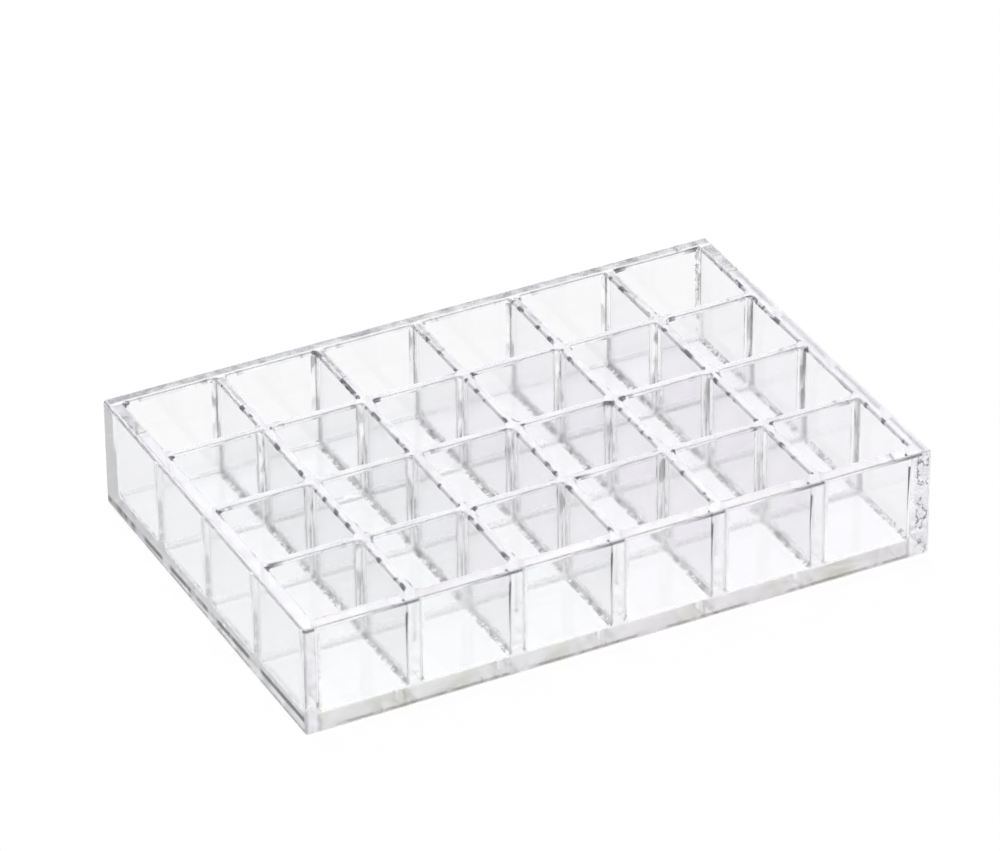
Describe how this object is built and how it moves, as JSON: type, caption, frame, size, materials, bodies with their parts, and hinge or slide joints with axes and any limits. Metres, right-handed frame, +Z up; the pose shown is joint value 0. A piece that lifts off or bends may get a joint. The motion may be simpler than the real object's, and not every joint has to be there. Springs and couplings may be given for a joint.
{
  "type": "vanity organizer",
  "caption": "Low clear tray, open on top, with thick polished walls and a grid of square cells that hold small upright items.",
  "frame": {"origin": "middle of the tray's underside, on the surface that it stands on", "axes": "+X along the length, to the right seen from the front; +Y from the front wall to the back wall; +Z up"},
  "size_m": [0.18, 0.122, 0.032],
  "materials": {
    "clear_wall": "clear, polished",
    "clear_divider": "clear, polished",
    "clear_base": "clear, polished"
  },
  "bodies": {
    "root": {"base_plate": "clear_base", "left_wall": "clear_wall", "right_wall": "clear_wall", "front_wall": "clear_wall", "back_wall": "clear_wall", "cross_divider_1": "clear_divider", "cross_divider_2": "clear_divider", "cross_divider_3": "clear_divider", "cross_divider_4": "clear_divider", "cross_divider_5": "clear_divider", "long_divider_1": "clear_divider", "long_divider_2": "clear_divider", "long_divider_3": "clear_divider"}
  },
  "joints": []
}
